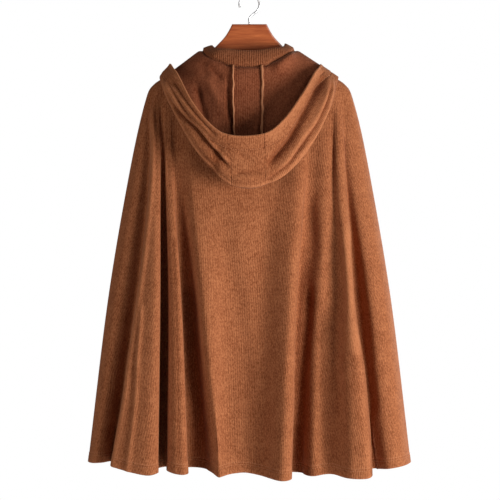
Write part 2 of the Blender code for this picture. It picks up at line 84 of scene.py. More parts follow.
# The crests and valleys of the cloth. x is across at four levels, out is how far the
# line stands out of the ring, and drop is how far the hem hangs below its sides.
FOLD_COLUMNS = "name x_upper x_chest x_waist x_hem out_upper out_chest out_waist out_hem drop"
Fold = namedtuple("Fold", FOLD_COLUMNS)
BACK_FOLDS = table(
    Fold,
    ("side_roll", -208, -224, -264, -304, 0, 2, 4, 8, -4),
    ("side_slope", -203, -212, -244, -288, 0, -2, -6, -10, -4),
    ("side_valley", -198, -200, -224, -272, -2, -9, -24, -40, -4),
    ("pleat_edge", -195, -192, -215, -265, 0, 4, 12, 16, -2),
    ("pleat_ridge", -190, -188, -204, -227, 4, 9, 17, 25, 6),
    ("pleat_crest", -184, -184, -181, -192, 2, 7, 20, 28, 10),
    ("pleat_lip", -179, -176, -173, -176, 0, 3, 9, 14, 7),
    ("gap_left", -175, -173, -176, -181, -2, -9, -20, -26, 5),
    ("deep_gap", -171, -166, -161, -164, -2, -13, -36, -50, 4),
    ("second_edge", -167, -164, -156, -157, 0, 1, 3, 4, 5),
    ("second_pleat", -163, -159, -142, -133, 0, 1, 15, 24, 8),
    ("second_lip", -157, -152, -132, -119, 0, 1, 8, 14, 8),
    ("left_valley", -151, -146, -132, -119, -1, -8, -30, -48, 4),
    ("valley_floor", -144, -137, -113, -91, -2, -8, -31, -49, 6),
    ("left_crest", -114, -112, -87, -60, 2, 5, 12, 22, 16),
    ("left_panel", -80, -76, -56, -45, 1, 3, 2, 5, 11),
    ("middle", -10, -8, -22, -20, 0, -2, -9, -14, 7),
    ("right_dip", 51, 46, 28, 14, -1, -6, -8, -16, 13),
    ("right_crest", 92, 95, 82, 63, 1, 7, 21, 35, 18),
    ("right_lip", 104, 106, 93, 79, 0, 3, 13, 26, 17),
    ("right_valley", 118, 114, 95, 81, -1, -8, -40, -62, 15),
    ("right_floor", 128, 127, 109, 94, 0, -8, -35, -57, 15),
    ("low_crest", 146, 148, 137, 122, -1, -3, -8, -14, 17),
    ("outer_valley", 157, 160, 166, 158, -1, -6, -13, -9, 11),
    ("outer_shoulder", 166, 169, 181, 185, 0, -2, 1, 13, 17),
    ("outer_edge", 175, 177, 195, 223, 2, 10, 24, 37, 16),
    ("far_lip", 179, 183, 204, 236, 1, 5, 15, 26, 14),
    ("far_valley", 183, 185, 206, 241, -1, -10, -32, -34, 8),
    ("far_floor", 188, 191, 218, 255, -2, -11, -31, -33, 8),
    ("far_slope", 194, 202, 236, 270, 0, 0, 2, 2, 5),
    ("far_roll", 205, 222, 262, 296, 1, 5, 12, 14, 1),
)
FRONT_FOLDS = table(
    Fold,
    ("side_roll", 201, 225, 260, 294, 1, 4, 8, 12, -2),
    ("side_valley", 192, 207, 235, 262, -1, -4, -13, -22, 3),
    ("outer_crest", 176, 187, 208, 228, 2, 6, 14, 24, 12),
    ("outer_valley", 155, 162, 176, 188, -2, -6, -15, -28, 6),
    ("inner_crest", 126, 130, 138, 145, 2, 5, 12, 22, 15),
    ("inner_valley", 96, 97, 98, 100, -1, -4, -12, -24, 9),
    ("middle_crest", 58, 57, 52, 46, 1, 3, 10, 20, 17),
    ("middle_valley", 12, 8, 0, -10, 0, -2, -6, -14, 10),
    ("low_crest", -34, -38, -50, -64, 1, 3, 9, 18, 17),
    ("low_valley", -78, -82, -96, -110, -1, -4, -12, -26, 8),
    ("left_crest", -118, -124, -140, -156, 2, 5, 13, 24, 14),
    ("left_valley", -152, -162, -182, -200, -2, -6, -15, -26, 5),
    ("far_crest", -178, -192, -216, -238, 2, 6, 13, 22, 9),
    ("far_valley", -193, -212, -242, -270, -1, -4, -12, -18, 2),
    ("far_roll", -202, -227, -263, -298, 1, 4, 8, 10, -2),
)

# Sections of the hood from the middle of the back round to the middle of the front.
HOOD_COLUMNS = "name neck_x neck_y neck_z fold_x fold_y fold_z lip_x lip_y lip_z pouch stand"
Section = namedtuple("Section", HOOD_COLUMNS)
HOOD_MIDDLE = Section("middle", -3, -59, -150, -3, -118, -390, -5, -154, -294, 50, 24)
HOOD_LEFT = table(
    Section,
    ("strip_seam", 31, -59, -149, 31, -116, -384, 37, -152, -291, 49, 24),
    ("nape_side", 55, -56, -140, 85, -109, -339, 71, -143, -271, 43, 22),
    ("neck_side", 75, -50, -131, 131, -91, -270, 111, -119, -221, 29, 17),
    ("shoulder_back", 88, -32, -119, 164, -58, -206, 141, -71, -162, 18, 13),
    ("shoulder_edge", 93, -17, -111, 174, -34, -179, 151, -43, -149, 13, 14),
    ("shoulder", 95, -2, -108, 178, -5, -165, 157, -10, -139, 10, 16),
    ("front_edge", 93, 15, -112, 173, 30, -171, 153, 35, -148, 12, 15),
    ("shoulder_front", 86, 32, -119, 160, 54, -192, 142, 61, -163, 14, 14),
    ("collar_side", 65, 54, -135, 112, 82, -204, 100, 91, -174, 15, 13),
    ("collar_front", 33, 67, -151, 58, 96, -204, 53, 104, -177, 15, 14),
    ("middle_front", 0.2, 73, -161, 0.2, 99, -199, 0.2, 107, -175, 15, 14),
)
HOOD_RIGHT = table(
    Section,
    ("strip_seam", 25, -59, -149, 26, -116, -385, 32, -152, -289, 49, 24),
    ("nape_side", 49, -56, -139, 89, -109, -345, 69, -143, -261, 43, 23),
    ("neck_side", 69, -50, -129, 134, -91, -278, 103, -119, -212, 29, 19),
    ("shoulder_back", 81, -33, -118, 163, -60, -217, 127, -73, -168, 19, 14),
    ("shoulder_edge", 89, -17, -111, 172, -35, -181, 136, -45, -152, 14, 18),
    ("shoulder", 92, -2, -108, 177, -5, -163, 141, -10, -140, 10, 23),
    ("front_edge", 90, 15, -112, 170, 30, -171, 138, 36, -149, 12, 18),
    ("shoulder_front", 84, 32, -119, 158, 54, -192, 134, 61, -162, 14, 14),
    ("collar_side", 64, 54, -135, 111, 82, -205, 96, 91, -174, 15, 13),
    ("collar_front", 32, 67, -151, 58, 96, -205, 52, 104, -177, 15, 14),
    ("middle_front", 0.2, 73, -161, 0.2, 99, -199, 0.2, 107, -175, 15, 14),
)

# Creases laid in the cloth. Each runs through points (x, z) in mm, as seen from
# the camera at the hanger's plane, stands proud by so much and is about twice width wide.
# The narrow creases also give painted shade in their hollows and painted highlight on their ridges;
# on the hood's outside every crease does.
Crease = namedtuple("Crease", "name proud width path")
HOOD_CREASES = table(
    Crease,
    ("left_hem", -4.2, 2.8, [
        (-155, -165), (-143, -185), (-131, -205), (-119, -223), (-107, -239), (-93, -255),
        (-77, -271), (-61, -283),
    ]),
    ("left_thread", 3, 2.2, [
        (-157, -177), (-145, -195), (-131, -215), (-117, -233), (-101, -251), (-87, -265),
        (-75, -277),
    ]),
    ("left_overlap", 5, 3.4, [
        (-173, -169), (-161, -185), (-149, -203), (-137, -223), (-123, -243), (-107, -259),
        (-91, -277), (-77, -295), (-63, -311), (-49, -325), (-37, -341),
    ]),
    ("left_under", -7, 4.4, [
        (-153, -211), (-143, -227), (-131, -241), (-117, -255), (-101, -271), (-87, -289),
        (-73, -307), (-59, -323), (-45, -339), (-37, -349),
    ]),
    ("left_low", -2.4, 7, [(-103, -305), (-89, -321), (-75, -335), (-59, -351)]),
    ("seam_shade", -3.5, 10, [(-61, -285), (-63, -309), (-67, -339), (-71, -369)]),
    ("right_valley", -13, 7, [
        (153, -151), (147, -167), (137, -185), (129, -203), (119, -223), (109, -241), (99, -259),
        (89, -277), (79, -293), (67, -307), (55, -321), (43, -335), (35, -351),
    ]),
    ("right_ridge", 5, 5, [
        (157, -177), (151, -199), (143, -219), (133, -239), (123, -257), (111, -273), (99, -291),
        (87, -309), (75, -325), (63, -339), (49, -349),
    ]),
    ("right_groove", -5, 3.2, [
        (163, -177), (157, -197), (151, -215), (143, -233), (135, -251), (123, -271), (109, -291),
        (95, -311), (81, -329), (67, -343), (53, -355), (37, -367), (25, -375),
    ]),
    ("right_low", 3.4, 3.2, [
        (163, -209), (153, -233), (143, -253), (129, -275), (115, -295), (99, -315), (85, -333),
        (73, -345), (61, -355), (45, -365), (31, -373),
    ]),
    ("right_nick", -2.4, 2.4, [(139, -165), (143, -159), (151, -151)]),
    ("strip_dent", -2.2, 6, [(-27, -313), (-9, -323), (13, -335)]),
    ("strip_fold", -2.6, 2.6, [(-35, -355), (-15, -355), (5, -353), (29, -355)]),
    ("strip_swell", 2.2, 3.4, [(-35, -363), (-11, -363), (17, -363)]),
)
INSIDE_CREASES = table(
    Crease,
    ("middle_swell", 10, 55, [(-5, -119), (-5, -199), (-5, -279)]),
    ("left_hollow", -5, 20, [(-111, -157), (-103, -189), (-93, -221), (-77, -253)]),
    ("left_slope", -5, 6, [(-111, -169), (-103, -193), (-97, -217), (-89, -241), (-75, -265)]),
    ("left_panel", 2.5, 7, [(-87, -157), (-77, -181), (-65, -205), (-55, -225)]),
    ("left_top", -4, 11, [(-93, -125), (-89, -145), (-87, -169)]),
    ("left_nape", -5, 5.5, [(-83, -137), (-73, -149), (-61, -161), (-47, -173)]),
    ("left_seam_side", -4, 5, [(-41, -153), (-41, -201), (-41, -261)]),
    ("right_nape", 11, 10, [(93, -109), (77, -125), (61, -141), (43, -157)]),
)
BACK_CREASES = table(
    Crease,
    ("pleat_edge", 4, 4.2, [
        (-195, -221), (-193, -329), (-197, -409), (-205, -489), (-215, -569), (-227, -649),
        (-239, -729), (-249, -809), (-267, -909), (-281, -999),
    ]),
    ("pleat_fold", 3.2, 4.2, [
        (-215, -609), (-217, -653), (-223, -729), (-227, -809), (-239, -909), (-249, -999),
    ]),
    ("pleat_crease", -1.2, 4, [
        (-223, -653), (-231, -729), (-237, -809), (-251, -909), (-263, -999),
    ]),
    ("middle_trough", -1.5, 12, [
        (-51, -489), (-33, -569), (-19, -649), (-9, -729), (-3, -809), (-3, -909),
    ]),
    ("middle_swell", 0.9, 9, [(-27, -489), (-7, -569), (3, -649), (11, -729), (13, -809)]),
    ("right_round", 9, 38, [(161, -199), (163, -289), (163, -369), (163, -449), (163, -529)]),
    ("crest_wall", -3, 9, [(95, -469), (95, -569), (93, -649), (87, -729), (81, -809)]),
    ("right_hollow", -5, 17, [(121, -369), (123, -429), (129, -509), (131, -569)]),
    ("outer_dip", -1.2, 6, [(165, -219), (167, -289), (169, -349), (173, -409), (177, -489)]),
    ("outer_rise", 7, 14, [(191, -609), (197, -729), (201, -809), (205, -919), (207, -999)]),
    ("far_rise", 7, 26, [(217, -649), (223, -769), (229, -869), (233, -999)]),
    ("left_floor", -7, 8, [
        (-123, -569), (-117, -649), (-112, -729), (-104, -809), (-97, -889), (-93, -999),
    ]),
    ("right_floor", -6, 7, [
        (121, -569), (115, -649), (109, -729), (105, -809), (101, -889), (99, -999),
    ]),
    ("low_shade", -10, 18, [(143, -589), (143, -689), (145, -809), (149, -919), (151, -999)]),
    ("low_middle", -9, 44, [(-33, -649), (-33, -749), (-31, -869), (-29, -999)]),
    ("left_wall", -5, 11, [(-77, -769), (-77, -849), (-77, -919), (-75, -999)]),
    ("pleat_wall", -3, 6, [
        (-155, -469), (-149, -589), (-145, -709), (-143, -809), (-141, -919), (-141, -999),
    ]),
    ("middle_slope", -8, 34, [(-23, -489), (-23, -689), (-23, -809), (-25, -999)]),
    ("panel_slope", -7, 24, [(-57, -389), (-51, -489), (-47, -589), (-45, -789), (-43, -999)]),
    ("dip_slope", -4, 22, [(33, -389), (29, -489), (27, -589), (25, -789), (17, -999)]),
    ("far_fill", 7, 9, [(249, -809), (257, -919), (263, -999)]),
    ("far_swell", 4, 7.5, [(193, -439), (197, -539), (201, -629), (209, -729)]),
    ("far_line", 3, 5, [(205, -639), (215, -729), (223, -809), (235, -919), (241, -989)]),
    ("far_round", -3, 8, [
        (209, -689), (217, -769), (223, -809), (231, -869), (241, -919), (249, -999),
    ]),
)
FRONT_CREASES = table(
    Crease,
    ("left_edge", 2.2, 4.5, [(-184, -240), (-196, -420), (-214, -620), (-236, -820), (-250, -999)]),
    ("left_fold", -1.5, 5, [(-128, -420), (-136, -620), (-150, -820), (-158, -999)]),
    ("middle_trough", -1.4, 12, [(20, -380), (12, -560), (-4, -760), (-8, -860)]),
    ("right_fold", 2, 5, [(150, -440), (160, -640), (168, -840), (176, -999)]),
    ("right_edge", -1.8, 4.5, [(184, -260), (200, -440), (222, -640), (246, -840), (256, -999)]),
)


def spline(knots, values, at):
    """The smooth curve through values at the knots."""
    knots, values, at = (np.asarray(numbers, float) for numbers in (knots, values, at))
    slopes = np.gradient(values, knots, axis=0)
    i = np.clip(np.searchsorted(knots, at, side="right") - 1, 0, len(knots) - 2)
    span = knots[i + 1] - knots[i]
    t = (at - knots[i]) / span
    if values.ndim > 1:
        span = span[..., None]
        t = t[..., None]
    return (
        (2 * t**3 - 3 * t**2 + 1) * values[i]
        + (t**3 - 2 * t**2 + t) * span * slopes[i]
        + (3 * t**2 - 2 * t**3) * values[i + 1]
        + (t**3 - t**2) * span * slopes[i + 1]
    )


def knots_along(points):
    """Knots for a spline through the points, spaced by the root of their distances."""
    steps = np.sqrt(np.linalg.norm(np.diff(points, axis=0), axis=1))
    return np.concatenate([[0], np.cumsum(steps)])


def unit(vectors):
    return vectors / np.maximum(np.linalg.norm(vectors, axis=-1, keepdims=True), 1e-12)


def level_at(row):
    """The ring sizes at a row, which may lie between two levels."""
    sizes = [level[1:] for level in LEVELS]
    return Level("row", *spline(range(len(LEVELS)), sizes, row))


def across(line, row, side_x):
    """Where a fold line crosses a ring. Above the upper arm it runs in to the neck."""
    if row <= UPPER:
        return side_x * line.x_upper / LEVELS[UPPER].side_x
    stations = [line.x_upper, line.x_chest, line.x_waist, line.x_hem]
    return float(spline([UPPER, CHEST, WAIST, HEM], stations, row))


def proud(line, row):
    """How far a fold line stands out of a ring, from nothing near the neck."""
    depths = [0, 0, TIP_SHARE * line.out_upper]
    depths += [line.out_upper, line.out_chest, line.out_waist, line.out_hem]
    return float(spline(range(len(LEVELS)), depths, row))


def ring_point(line, row, level, depth, middle_z):
    """One fold line's point on a ring, whose middle lies at depth and middle_z."""
    x = across(line, row, level.side_x)
    share = min(1, abs(x) / level.side_x)
    out = (1 - share**OVAL) ** (1 / OVAL) * abs(depth) + proud(line, row)
    drop = float(spline([NECK, WAIST, HEM], [0, 0, line.drop], row)) if row > WAIST else 0
    z = level.side_z + (middle_z - level.side_z) * (1 - share**2) - drop
    return x, math.copysign(out, depth), z


def ring_keys(row):
    """The fold lines' points round one ring, from the left side over the back."""
    level = level_at(row)
    left = [(-level.side_x, 0, level.side_z)]
    right = [(level.side_x, 0, level.side_z)]
    back = [ring_point(f, row, level, level.back_y, level.back_z) for f in BACK_FOLDS]
    front = [ring_point(f, row, level, level.front_y, level.front_z) for f in FRONT_FOLDS]
    return np.array(left + back + right + front)


BACK_COLUMN = 3.8  # about how wide a column of the back's grid is at the hem
FRONT_COLUMN = 5.4
FEWEST_COLUMNS = 4  # between two fold lines
RING_OVERLAP = 3  # how many fold lines past each end a ring's spline takes in
UPPER_ROWS = 120
HEM_ROWS = 19
HEM_PART = 28.5  # how much of the cloth the hem's rows take
HEM_PART_GAP = 1.5  # from the last upper row to the first of them
SIDE_SAMPLES = 1201  # the places where the side's length is measured


def ring_columns():
    """How many columns each span between two fold lines gets, from its width at the hem."""
    keys = ring_keys(HEM)
    widths = np.linalg.norm(np.roll(keys, -1, axis=0) - keys, axis=1)
    on_back = np.arange(len(keys)) <= len(BACK_FOLDS)
    target = np.where(on_back, BACK_COLUMN, FRONT_COLUMN)
    return np.maximum(FEWEST_COLUMNS, np.round(widths / target)).astype(int)


def ring(row, columns):
    """The whole ring as points, with a fixed number of columns between fold lines."""
    keys = ring_keys(row)
    count = len(keys)
    around = keys[np.arange(-RING_OVERLAP, count + RING_OVERLAP + 1) % count]
    knots = knots_along(around)
    places = []
    for i, steps in enumerate(columns):
        start, end = knots[i + RING_OVERLAP], knots[i + RING_OVERLAP + 1]
        places.append(start + (end - start) * np.arange(steps) / steps)
    return spline(knots, around, np.concatenate(places))


def body_rows():
    """The rows of the body, close together near the hem's stitches."""
    rows = np.linspace(0, HEM, SIDE_SAMPLES)
    levels = [level_at(row) for row in rows]
    path = np.array([(level.side_x, level.side_z) for level in levels])
    along = np.concatenate([[0], np.cumsum(np.linalg.norm(np.diff(path, axis=0), axis=1))])
    total = along[-1]
    upper = np.linspace(0, total - (HEM_PART + HEM_PART_GAP), UPPER_ROWS)
    hem = np.linspace(total - HEM_PART, total, HEM_ROWS)
    return np.interp(np.concatenate([upper, hem]), along, rows)


def grid_normals(grid, closed=False):
    """Unit normals of a grid of points, outwards for rows that run down and columns
    that run from the left side over the back."""
    if closed:
        along = np.roll(grid, -1, axis=1) - np.roll(grid, 1, axis=1)
    else:
        along = np.gradient(grid, axis=1)
    down = np.gradient(grid, axis=0)
    return unit(np.cross(down, along))


def seen(points):
    """Where points appear from the camera, as x and z in mm at the hanger's plane."""
    centre = np.array([CAMERA_X, CAMERA_Z])
    nearer = CAMERA_AWAY / (CAMERA_AWAY + points[..., 1:2])
    return centre + (points[..., [0, 2]] - centre) * nearer


def path_lengths(grid, axis):
    """Distances along one axis of a grid, from its start."""
    steps = np.linalg.norm(np.diff(grid, axis=axis), axis=-1)
    lengths = np.cumsum(steps, axis=axis)
    return np.concatenate([np.zeros_like(lengths.take([0], axis=axis)), lengths], axis=axis)


def add_object(name, mesh, *surfaces):
    """A new object in the scene, with its materials."""
    for surface in surfaces:
        mesh.materials.append(surface)
    made = bpy.data.objects.new(name, mesh)
    bpy.context.scene.collection.objects.link(made)
    return made


def add_smooth(name, points, faces, surface):
    """A smooth object from points in mm and the faces between them."""
    mesh = bpy.data.meshes.new(name)
    mesh.from_pydata((np.array(points) * MM).tolist(), [], faces)
    mesh.shade_smooth()
    return add_object(name, mesh, surface)


EDGE_ROUND = 0.5  # how far a cloth's edge is rounded, as a share of half its thickness


def cloth_object(name, outer, inner, uv, pile_and_painted_light, surfaces):
    """A closed thin wall between two grids in mm, with rounded edges and a UV map that
    holds distances on the cloth, in metres. The painted light, from -1 to 1, is stored on
    the points: below 0 it paints the cloth darker as painted shade, above 0 lighter as
    painted highlight. The inner grid takes the second surface."""
    rows, columns = outer.shape[:2]
    total = rows * columns
    index = np.arange(total).reshape(rows, columns)
    edge = np.concatenate([index[0, :-1], index[:-1, -1], index[-1, :0:-1], index[:0:-1, 0]])
    middle = (outer + inner) / 2
    inward = np.zeros_like(outer)
    inward[0] += middle[1] - middle[0]
    inward[-1] += middle[-2] - middle[-1]
    inward[:, 0] += middle[:, 1] - middle[:, 0]
    inward[:, -1] += middle[:, -2] - middle[:, -1]
    half = np.linalg.norm(outer - inner, axis=-1, keepdims=True) / 2
    rim = (middle - unit(inward) * half * EDGE_ROUND).reshape(-1, 3)[edge]
    rim_index = 2 * total + np.arange(len(edge))
    next_edge, next_rim = np.roll(edge, -1), np.roll(rim_index, -1)
    quads = np.stack([index[:-1, :-1], index[:-1, 1:], index[1:, 1:], index[1:, :-1]], -1)
    quads = quads.reshape(-1, 4)
    outer_edge = np.stack([edge, next_edge, next_rim, rim_index], -1)
    inner_edge = np.stack([rim_index, next_rim, next_edge + total, edge + total], -1)
    faces = np.concatenate([quads[:, ::-1], quads + total, outer_edge, inner_edge])
    points = np.concatenate([outer.reshape(-1, 3), inner.reshape(-1, 3), rim]) * MM
    mesh = bpy.data.meshes.new(name)
    mesh.from_pydata(points.tolist(), [], faces.tolist())
    flat_uv, flat_painted_light = uv.reshape(-1, 2) * MM, pile_and_painted_light.ravel()
    all_uv = np.concatenate([flat_uv, flat_uv, flat_uv[edge]])
    layer = mesh.uv_layers.new(name="cloth")
    loops = np.empty(len(mesh.loops), np.int32)
    mesh.loops.foreach_get("vertex_index", loops)
    layer.data.foreach_set("uv", all_uv[loops].ravel().astype(np.float32))
    painted_light = mesh.attributes.new("pile_and_painted_light", "FLOAT", "POINT")
    all_painted_light = np.concatenate([flat_painted_light, flat_painted_light, flat_painted_light[edge]])
    painted_light.data.foreach_set("value", all_painted_light.astype(np.float32))
    bm = bmesh.new()
    bm.from_mesh(mesh)
    bmesh.ops.recalc_face_normals(bm, faces=bm.faces)
    bm.to_mesh(mesh)
    bm.free()
    mesh.shade_smooth()
    made = add_object(name, mesh, *surfaces)
    sides = np.zeros(len(mesh.polygons), np.int32)
    sides[len(quads) : 2 * len(quads)] = 1
    mesh.polygons.foreach_set("material_index", sides)
    return made


def draw_in(grid, distance):
    """The grid with its first and last columns moved in, to leave a gap at a seam."""
    moved = grid.copy()
    moved[:, 0] += unit(grid[:, 1] - grid[:, 0]) * distance
    moved[:, -1] += unit(grid[:, -2] - grid[:, -1]) * distance
    return moved


def bell(distance, width):
    return np.exp(-((distance / width) ** 2))


def ease(t):
    """A smooth step from 0 to 1."""
    t = np.clip(t, 0, 1)
    return t * t * (3 - 2 * t)


CREASE_FADE = 8  # a crease dies out over this many mm at each end, and 4 of its widths
PAINTED_LIGHT_LIFT = 5  # about how far a crease rises where its painted highlight is full, and a groove sinks where its painted shade is full
PAINTED_LIGHT_WIDTH = 9  # creases wider than this add no painted shade or highlight on the body and inside the hood


def crease_relief(creases, points):
    """How far the creases lift the cloth at each point, and the narrow ones alone."""
    places = seen(points)
    lift = np.zeros(places.shape[:-1])
    narrow = np.zeros(places.shape[:-1])
    for crease in creases:
        corners = np.array(crease.path, float)
        knots = knots_along(corners)
        path = spline(knots, corners, np.linspace(0, knots[-1], 4 * len(corners)))
        steps = np.diff(path, axis=0)
        lengths = np.linalg.norm(steps, axis=1)
        starts = np.cumsum(lengths) - lengths
        nearest = np.full(lift.shape, np.inf)
        along = np.zeros(lift.shape)
        for corner, step, length, start in zip(path, steps, lengths, starts):
            t = np.clip((places - corner) @ step / length**2, 0, 1)
            away = np.linalg.norm(places - corner - t[..., None] * step, axis=-1)
            along = np.where(away < nearest, start + t * length, along)
            nearest = np.minimum(nearest, away)
        left = lengths.sum() - along
        fade = min(CREASE_FADE + 4 * crease.width, lengths.sum() / 3)
        one = crease.proud * bell(nearest, crease.width) * ease(along / fade) * ease(left / fade)
        lift += one
        if crease.width < PAINTED_LIGHT_WIDTH:
            narrow += one
    return lift, narrow


def lift_to_paint(lift):
    """How much painted light a crease that lifts the cloth by so many mm gets, from -1 to 1:
    painted shade below 0, painted highlight above 0.
    """
    return np.tanh(lift / PAINTED_LIGHT_LIFT)


SOFTENING = {-2: 0.0625, -1: 0.25, 0: 0.375, 1: 0.25, 2: 0.0625}


def softened(grid, times=1):
    """A closed ring of columns with its sharpest turns rounded."""
    for _ in range(times):
        grid = sum(share * np.roll(grid, shift, axis=1) for shift, share in SOFTENING.items())
    return grid


def rounded(grid, times, where):
    """The ring of columns, rounded so many times where the share is 1."""
    return grid + (softened(grid, times) - grid) * where[..., None]


STITCH_PITCH = 4.6
STITCH_LENGTH = 3.4
STITCH_ROUND = 0.45
STITCH_RISE = 0.4  # how far a stitch's middle lies out of the cloth, in its radii
STITCH_SIDES = 6
STITCH_RINGS = [(-0.5, 0.3), (-0.3, 1), (0.3, 1), (0.5, 0.3)]  # place and radius


def points_at(wanted, along, points, **how):
    """The points of a path, at distances along it."""
    return np.stack([np.interp(wanted, along, points[:, k], **how) for k in range(3)], -1)


def tube_faces(first, rings, around):
    """The faces of a closed tube of rings of points, the first of which is given."""
    last = first + (rings - 1) * around
    faces = []
    for start in range(first, last, around):
        for j in range(around):
            a, b = start + j, start + (j + 1) % around
            faces.append((a, b, b + around, a + around))
    faces.append(tuple(range(first, first + around))[::-1])
    faces.append(tuple(range(last, last + around)))
    return faces


def stitches(name, lines, surface):
    """Rows of short thread stitches. Each line is its points and the cloth's normals."""
    turns = np.linspace(0, 2 * math.pi, STITCH_SIDES, endpoint=False)
    points, faces = [], []
    for path, normals in lines:
        along = path_lengths(path, 0)
        middles = np.arange(STITCH_PITCH, along[-1] - STITCH_PITCH, STITCH_PITCH)
        start = points_at(middles - STITCH_LENGTH / 2, along, path)
        end = points_at(middles + STITCH_LENGTH / 2, along, path)
        out = unit(points_at(middles, along, normals))
        run = unit(end - start)
        side = unit(np.cross(run, out))
        centre = (start + end) / 2 + out * STITCH_ROUND * STITCH_RISE
        for i in range(len(middles)):
            faces += tube_faces(len(points), len(STITCH_RINGS), STITCH_SIDES)
            for reach, share in STITCH_RINGS:
                at = centre[i] + run[i] * STITCH_LENGTH * reach
                for turn in turns:
                    ray = math.cos(turn) * side[i] + math.sin(turn) * out[i]
                    points.append(at + ray * STITCH_ROUND * share)
    return add_smooth(name, points, faces, surface)


def sewn_panel(name, sides, uv, pile_and_painted_light, surfaces, lines, thread):
    """A panel of cloth in place of the node of that name, and its stitches."""
    cloth = cloth_object("cloth_" + name, *sides, uv, pile_and_painted_light, surfaces)
    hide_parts(name)
    return cloth, stitches("stitches_" + name, lines, thread)


def line_on(grid, distances, wanted):
    """The points of a grid at one distance, each column read between its rows."""
    columns = []
    for c in range(grid.shape[1]):
        order = np.argsort(distances[:, c])
        columns.append(points_at(wanted, distances[order, c], grid[order, c]))
    return np.array(columns)


# The back's turns are softer in its middle, and softest on a broad crest low down,
# each from one x to another.
MIDDLE_FROM, MIDDLE_TO, MIDDLE_FADE = -118, 215, 30
MIDDLE_PASSES = 5
CREST_FROM, CREST_FADE_IN = -105, 20
CREST_TO, CREST_FADE_OUT = 0, 25
CREST_TOP, CREST_GROWTH = -560, 300  # the z where it begins and how far it grows
CREST_PASSES = 24
SIDE_FADE = 20  # the back's own shapes die out over this much depth at the sides
HEM_RISE = 0.7  # how far the turned cloth stands out, over a step at its end
HEM_STEP = 2
THREAD_DIP = 0.9  # how deep and wide the stitches draw in the cloth
THREAD_WIDTH = 1.2
TURN_HIGHLIGHT, TURN_HIGHLIGHT_WIDTH = 3, 1.5  # painted highlight just above where the hem's turn ends
# painted highlight along the hem's edge
EDGE_HIGHLIGHT, EDGE_HIGHLIGHT_WIDTH = 2, 2.5


def body(surfaces, thread):
    """The back and front panels, and the stitches of their hem."""
    rows = body_rows()
    columns = ring_columns()
    outer = softened(np.array([ring(row, columns) for row in rows]))
    x, y = outer[..., 0], outer[..., 1]
    at_back = ease(-y / SIDE_FADE)
    wide = ease((x - MIDDLE_FROM) / MIDDLE_FADE) * ease((MIDDLE_TO - x) / MIDDLE_FADE)
    outer = rounded(outer, MIDDLE_PASSES, wide * at_back)
    low = ease((CREST_TOP - outer[..., 2]) / CREST_GROWTH)
    crest = low * ease((x - CREST_FROM) / CREST_FADE_IN) * ease((CREST_TO - x) / CREST_FADE_OUT)
    outer = rounded(outer, CREST_PASSES, crest * at_back)
    normals = grid_normals(outer, closed=True)
    from_hem = path_lengths(outer[::-1], 0)[::-1]
    backs = crease_relief(BACK_CREASES, outer)
    fronts = crease_relief(FRONT_CREASES, outer)
    creases, narrow = (np.where(outer[..., 1] < 0, *both) for both in zip(backs, fronts))
    # Painted shade in the narrow creases' hollows, painted highlight on their ridges, by the hem's
    # turn and along its edge.
    painted_light = narrow + TURN_HIGHLIGHT * bell(from_hem - HEM_TURN - 1, TURN_HIGHLIGHT_WIDTH)
    pile_and_painted_light = lift_to_paint(painted_light + EDGE_HIGHLIGHT * bell(from_hem, EDGE_HIGHLIGHT_WIDTH))
    relief = creases + HEM_RISE * ease((HEM_TURN + 0.75 * HEM_STEP - from_hem) / HEM_STEP)
    stitch_lines = [HEM_TURN, HEM_TURN - NEEDLE_GAP]
    for line in stitch_lines:
        relief = relief - THREAD_DIP * bell(from_hem - line, THREAD_WIDTH)
    outer = outer + normals * relief[..., None]
    normals = grid_normals(outer, closed=True)
    thickness = np.where(from_hem < HEM_TURN + HEM_STEP, HEM_CLOTH, CLOTH)
    inner = outer - normals * thickness[..., None]
    total = outer.shape[1]
    middle = int(columns[: len(BACK_FOLDS) + 1].sum())
    down = path_lengths(outer, 0)
    sewn = [line_on(outer, from_hem, line) for line in stitch_lines]
    facing = line_on(normals, from_hem, HEM_TURN)
    made = {}
    for name, span in (("back", range(0, middle + 1)), ("front", range(middle, total + 1))):
        picked = [c % total for c in span]
        panel = outer[:, picked]
        along = path_lengths(panel, 1)
        middle_column = np.abs(panel[-1, :, 0]).argmin()
        along = along - along[:, middle_column : middle_column + 1]
        uv = np.stack([along, down[:, picked]], -1)
        sides = (draw_in(side[:, picked], SEAM_GAP / 2) for side in (outer, inner))
        lines = [(line[picked], facing[picked]) for line in sewn]
        made[name] = sewn_panel(name, sides, uv, pile_and_painted_light[:, picked], surfaces, lines, thread)
    return made


def hood_sections():
    """All sections as numbers, from the front by the left, back and right to the front."""
    left, middle, right = (
        np.array([section[1:] for section in side], float)
        for side in (HOOD_LEFT[::-1], [HOOD_MIDDLE], HOOD_RIGHT)
    )
    left[:, [0, 3, 6]] *= -1
    return np.concatenate([left, middle, right])


def bezier(points, count, crowding=1):
    """Points along a cubic curve, without its end, crowded towards its start."""
    t = ((np.arange(count) / count) ** crowding)[:, None]
    a, b, c, d = points
    return (1 - t) ** 3 * a + 3 * t * (1 - t) ** 2 * b + 3 * t**2 * (1 - t) * c + t**3 * d


SECTION_STEPS = 20  # between two sections
BAND_FACES = 16
INNER_FACES = 40
INNER_CROWDING = 1.5
OUTER_FACES = 60
FOLD = BAND_FACES + INNER_FACES
BAND = np.s_[:, : BAND_FACES + 1]
INSIDE = np.s_[:, BAND_FACES + 1 : FOLD]
OUTSIDE = np.s_[:, FOLD:]
NECK_RISE = 1.2 * SEAM_GAP  # how far the band starts above the neck
HANDLE = 0.45  # the length of a curve's handle, as a share of the curve's reach
HANDLE_LEAN = 0.15  # how far it leans out, as a share of the pouch
POUCH_TURN = 0.6


